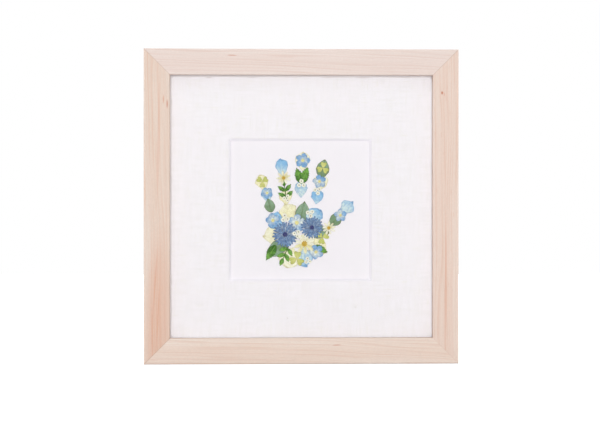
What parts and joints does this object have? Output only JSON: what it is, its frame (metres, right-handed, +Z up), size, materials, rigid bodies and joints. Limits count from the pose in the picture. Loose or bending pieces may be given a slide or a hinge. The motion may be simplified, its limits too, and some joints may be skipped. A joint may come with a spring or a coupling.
{
  "type": "handprint keepsake picture frame",
  "caption": "Square mitred wooden frame with glass and a linen mat around pressed flowers laid out as a child's handprint, with turn buttons and a sawtooth hanger behind.",
  "frame": {"origin": "below the middle of the frame, on the surface that its bottom rail stands on", "axes": "+Z up, the front faces -Y, +X to the right as seen from the front"},
  "size_m": [0.2302, 0.0286, 0.2302],
  "materials": {
    "moulding": "clear-coated pale maple",
    "glazing": "clear, with no tint",
    "linen": "undyed white linen cloth",
    "boards": "white solid-core board",
    "tape": "white double-sided tape",
    "art_paper": "cold-pressed cotton paper",
    "foam_core": "paper-faced foam board",
    "back_panel": "smooth brown hardboard",
    "hardware": "bright nickel plate",
    "fasteners": "bright zinc plate",
    "bumpers": "soft dark rubber",
    "blue_petals": "dried petal, pale blue",
    "cream_petals": "dried petal, cream",
    "sage_leaves": "dried leaf, grey green",
    "green_leaves": "dried leaf, green",
    "cornflowers": "dried petal, muted blue",
    "blooms": "dried petal, sky blue",
    "clovers": "dried leaf, lime",
    "buds": "dried bud, off-white",
    "eyes": "dried flower centre, ochre"
  },
  "bodies": {
    "frame": {"top_rail": "moulding", "bottom_rail": "moulding", "left_rail": "moulding", "right_rail": "moulding", "corner_v_nails": "fasteners", "glazing": "glazing", "mat_linen": "linen", "mat_board": "boards", "mat_tape": "tape", "art_paper": "art_paper", "mount_board": "boards", "foam_board_front": "foam_core", "foam_board_back": "foam_core", "back_panel": "back_panel", "turn_button_screws": "fasteners", "sawtooth_hanger": "hardware", "hanger_nails": "fasteners", "wall_bumper_left": "bumpers", "wall_bumper_right": "bumpers", "blue_petals": "blue_petals", "cream_petals": "cream_petals", "sage_leaves": "sage_leaves", "green_leaves": "green_leaves", "fern_sprigs": "green_leaves", "cornflowers": "cornflowers", "cream_daisies": "cream_petals", "blue_blooms": "blooms", "lime_clovers": "clovers", "white_buds": "buds", "flower_eyes": "eyes"},
    "turn_button_bottom_left": {"turn_button_bottom_left": "hardware"},
    "turn_button_bottom_right": {"turn_button_bottom_right": "hardware"},
    "turn_button_left": {"turn_button_left": "hardware"},
    "turn_button_top_left": {"turn_button_top_left": "hardware"},
    "turn_button_top_right": {"turn_button_top_right": "hardware"},
    "turn_button_right": {"turn_button_right": "hardware"}
  },
  "joints": [
    {"name": "bottom_left_button_swivel", "type": "hinge", "parent": "frame", "child": "turn_button_bottom_left", "pos_m": [-0.062, 0.01165, 0.00635], "axis": [0, 1, 0], "range_deg": [-90, 90]},
    {"name": "bottom_right_button_swivel", "type": "hinge", "parent": "frame", "child": "turn_button_bottom_right", "pos_m": [0.062, 0.01165, 0.00635], "axis": [0, 1, 0], "range_deg": [-90, 90]},
    {"name": "left_button_swivel", "type": "hinge", "parent": "frame", "child": "turn_button_left", "pos_m": [-0.10875, 0.01165, 0.1151], "axis": [0, 1, 0], "range_deg": [-90, 90]},
    {"name": "top_left_button_swivel", "type": "hinge", "parent": "frame", "child": "turn_button_top_left", "pos_m": [-0.062, 0.01165, 0.22385], "axis": [0, 1, 0], "range_deg": [-90, 90]},
    {"name": "top_right_button_swivel", "type": "hinge", "parent": "frame", "child": "turn_button_top_right", "pos_m": [0.062, 0.01165, 0.22385], "axis": [0, 1, 0], "range_deg": [-90, 90]},
    {"name": "right_button_swivel", "type": "hinge", "parent": "frame", "child": "turn_button_right", "pos_m": [0.10875, 0.01165, 0.1151], "axis": [0, 1, 0], "range_deg": [-90, 90]}
  ]
}
